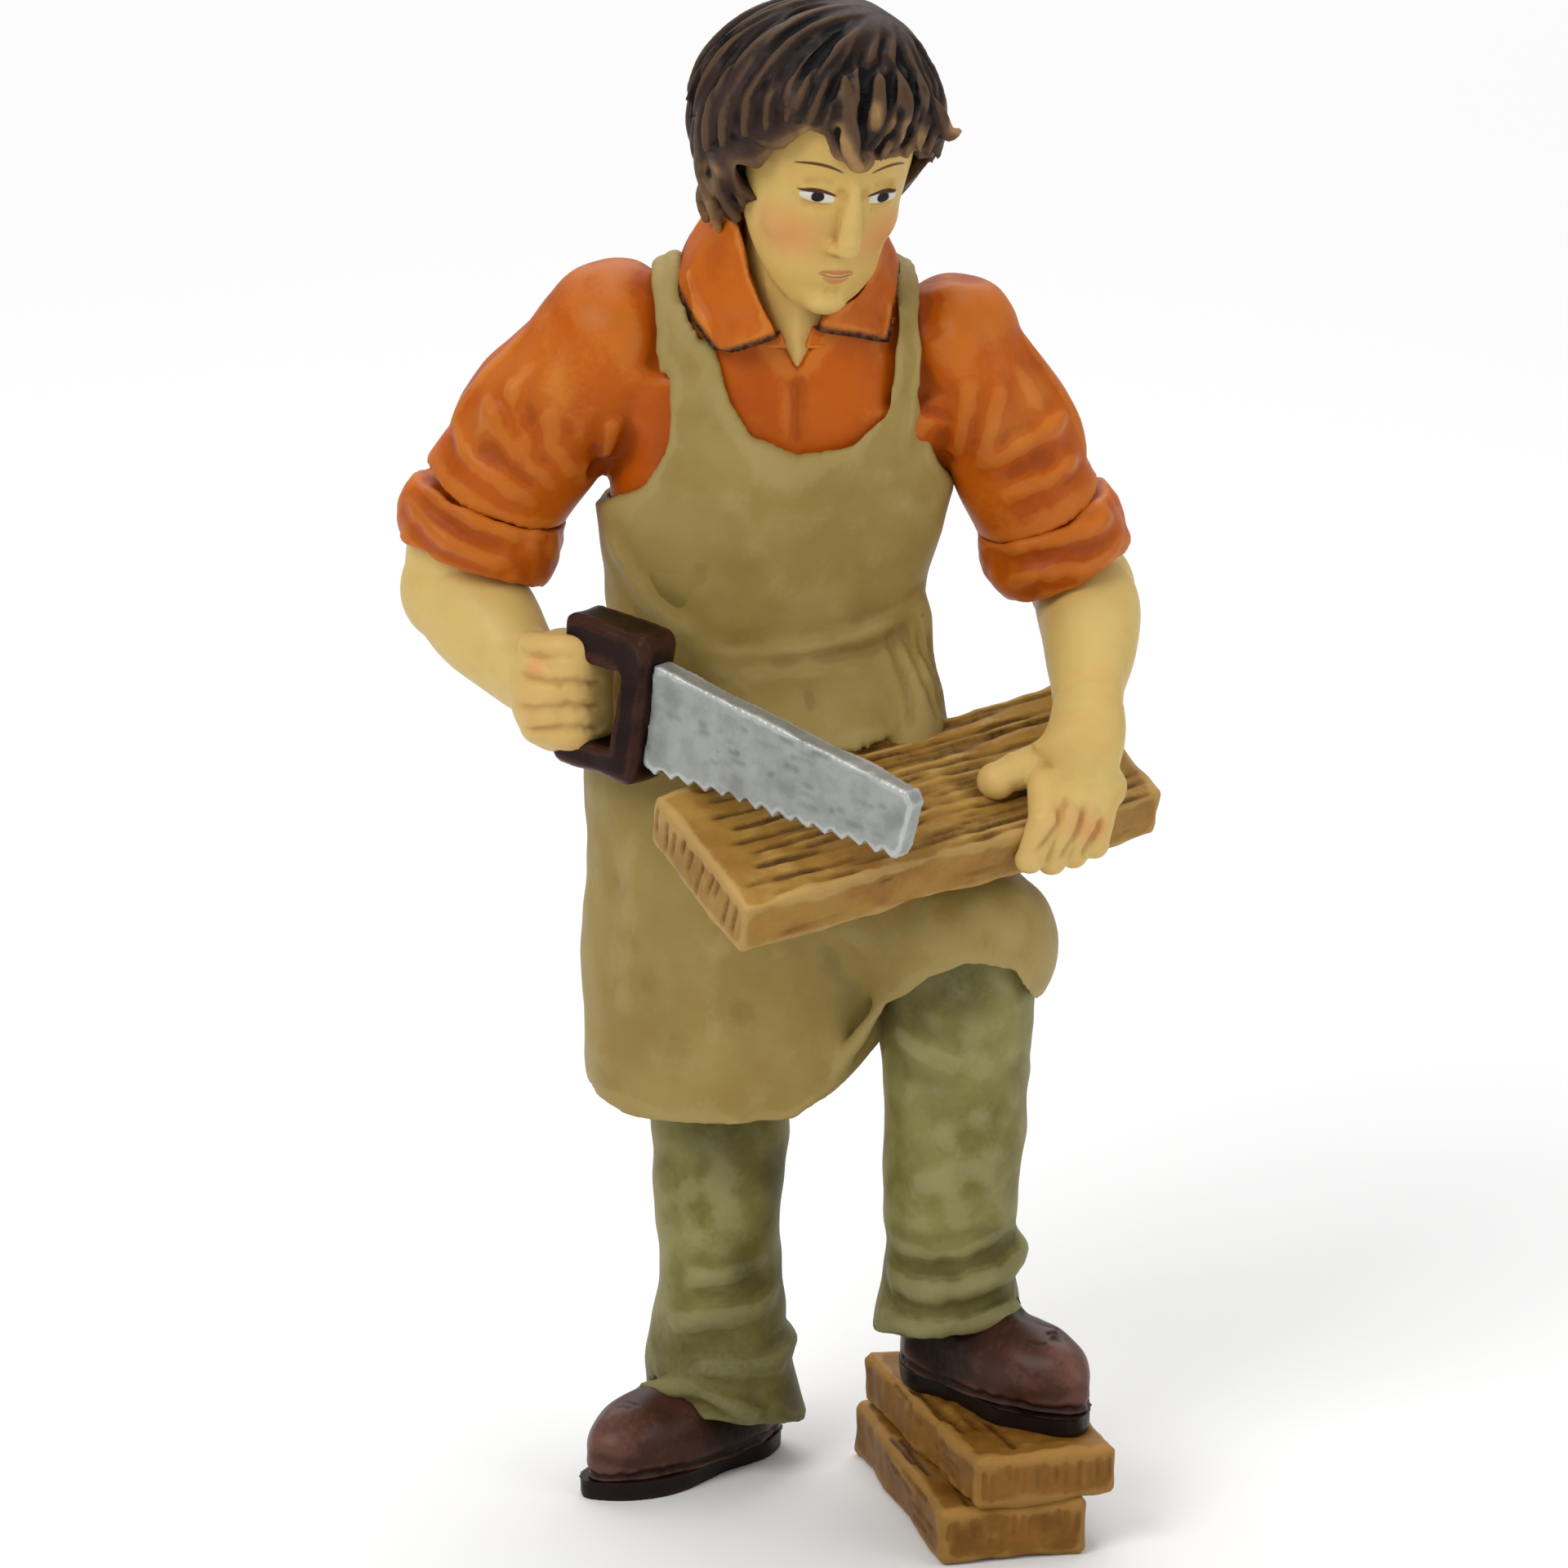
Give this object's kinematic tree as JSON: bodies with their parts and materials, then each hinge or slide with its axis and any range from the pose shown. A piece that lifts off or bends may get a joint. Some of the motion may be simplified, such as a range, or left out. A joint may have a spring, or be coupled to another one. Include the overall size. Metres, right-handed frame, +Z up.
{
  "type": "carpenter figurine",
  "caption": "Painted cast-resin figurine of a young carpenter sawing a board across a raised knee, one foot on stacked wooden blocks",
  "frame": {"origin": "centre of the footprint box on the surface that the figure stands on", "axes": "+Z up, the figure faces -Y, +X is the viewer's right when looking at the front"},
  "size_m": [0.0588, 0.0404, 0.1196],
  "materials": {
    "skin_paint": "satin hand-painted flesh tone over cast resin, blushed cheeks and knuckles",
    "hair_paint": "dark brown paint with mauve-brown dry-brushed strands",
    "shirt_paint": "orange paint, brown wash in the folds and peach dry-brushing on them",
    "apron_paint": "beige paint with a thin brown wash",
    "trouser_paint": "sage green paint with a dark wash in the folds",
    "shoe_paint": "dark burgundy-brown satin paint, lighter toe caps",
    "sole_paint": "near-black paint",
    "wood_paint": "ochre paint over carved grain with a dark brown wash",
    "blade_paint": "silver metallic paint with dark specks",
    "handle_paint": "dark reddish-brown satin paint",
    "wire_steel": "plain steel wire, hidden inside the casting"
  },
  "bodies": {
    "root": {"lower_block": "wood_paint", "upper_block": "wood_paint", "block_dowels": "wire_steel", "left_foot_pin": "wire_steel", "ankle_wires": "wire_steel", "right_sole": "sole_paint", "left_sole": "sole_paint", "right_shoe": "shoe_paint", "left_shoe": "shoe_paint", "trouser_seat": "trouser_paint", "right_trouser_leg": "trouser_paint", "left_trouser_leg": "trouser_paint", "neck_pin": "wire_steel", "shoulder_pins": "wire_steel", "shirt_torso": "shirt_paint", "right_sleeve": "shirt_paint", "left_sleeve": "shirt_paint", "right_cuff": "shirt_paint", "left_cuff": "shirt_paint", "right_forearm": "skin_paint", "left_forearm": "skin_paint", "wrist_pins": "wire_steel", "right_hand": "skin_paint", "left_hand": "skin_paint", "head": "skin_paint", "hair": "hair_paint", "collar": "shirt_paint", "board": "wood_paint", "saw_blade": "blade_paint", "saw_handle": "handle_paint", "apron_bib": "apron_paint", "neck_strap": "apron_paint", "waist_tie": "apron_paint", "apron_skirt": "apron_paint"}
  },
  "joints": []
}
